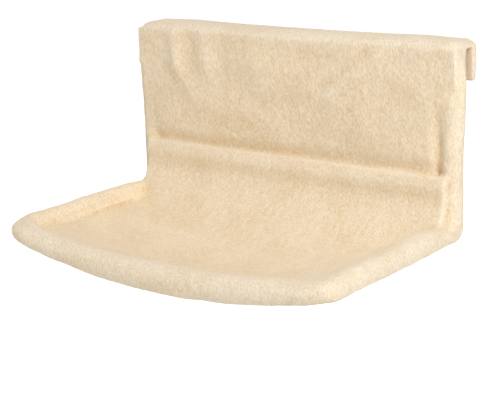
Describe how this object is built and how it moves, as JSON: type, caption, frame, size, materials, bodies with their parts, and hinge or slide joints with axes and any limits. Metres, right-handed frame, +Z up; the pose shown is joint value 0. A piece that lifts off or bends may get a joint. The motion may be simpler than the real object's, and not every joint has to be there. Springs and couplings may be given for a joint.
{
  "type": "radiator pet bed",
  "caption": "Padded plush hammock bed that hooks over the top edge of a radiator panel, with a take-apart steel tube frame inside a zipped cover.",
  "frame": {"origin": "middle of the hook's flat underside, where it rests on the top edge of the radiator", "axes": "+X to the right along the radiator seen from the room, -Y out into the room, +Z up"},
  "size_m": [0.46, 0.3112, 0.2685],
  "materials": {
    "cream_plush": "short plush pile",
    "lining_cloth": "plain woven, matt",
    "polyester_wadding": "loose fibre, matt",
    "coated_steel": "powder coated, satin",
    "zinc_plated_steel": "zinc plated",
    "spring_steel": "bare, oiled",
    "grey_nylon": "matt",
    "zip_tape_cloth": "tight woven, matt",
    "zip_teeth_plastic": "satin",
    "zip_metal": "nickel plated"
  },
  "bodies": {
    "bed": {"back_lining": "lining_cloth", "back_plush": "cream_plush", "back_wadding": "polyester_wadding", "brace": "coated_steel", "brace_inserts": "zinc_plated_steel", "brace_screws": "zinc_plated_steel", "flap_lining": "lining_cloth", "flap_plush": "cream_plush", "front_roll": "cream_plush", "hanger_bushes": "grey_nylon", "hanger_rod": "coated_steel", "hanger_screws": "zinc_plated_steel", "left_arm_sleeve": "cream_plush", "left_button_spring": "spring_steel", "left_coupling": "zinc_plated_steel", "left_upright": "coated_steel", "left_upright_sleeve": "cream_plush", "right_arm_sleeve": "cream_plush", "right_button_spring": "spring_steel", "right_coupling": "zinc_plated_steel", "right_upright": "coated_steel", "right_upright_sleeve": "cream_plush", "seat_frame": "coated_steel", "seat_lining": "lining_cloth", "seat_plush": "cream_plush", "seat_wadding": "polyester_wadding", "top_rail": "coated_steel", "upright_plugs": "grey_nylon", "zip_stops": "zip_metal", "zip_tapes": "zip_tape_cloth", "zip_teeth": "zip_teeth_plastic"},
    "left_button": {"left_snap_button": "zinc_plated_steel"},
    "right_button": {"right_snap_button": "zinc_plated_steel"},
    "zip_slider": {"zip_slider": "zip_metal"},
    "zip_pull": {"zip_pull": "zip_metal"}
  },
  "joints": [
    {"name": "left_button_press", "type": "slide", "parent": "bed", "child": "left_button", "axis": [1, 0, 0], "range_m": [0, 0.0029], "stiffness_N_per_m": 2000, "springref_m": -0.002, "deforming": ["left_button_spring"]},
    {"name": "right_button_press", "type": "slide", "parent": "bed", "child": "right_button", "axis": [-1, 0, 0], "range_m": [0, 0.0029], "stiffness_N_per_m": 2000, "springref_m": -0.002, "deforming": ["right_button_spring"]},
    {"name": "zip_slide", "type": "slide", "parent": "bed", "child": "zip_slider", "axis": [1, 0, 0], "range_m": [0, 0.35]},
    {"name": "pull_swing", "type": "hinge", "parent": "zip_slider", "child": "zip_pull", "pos_m": [-0.175, -0.0223, -0.2178], "axis": [0, 1, 0], "range_deg": [-85, 85]}
  ]
}
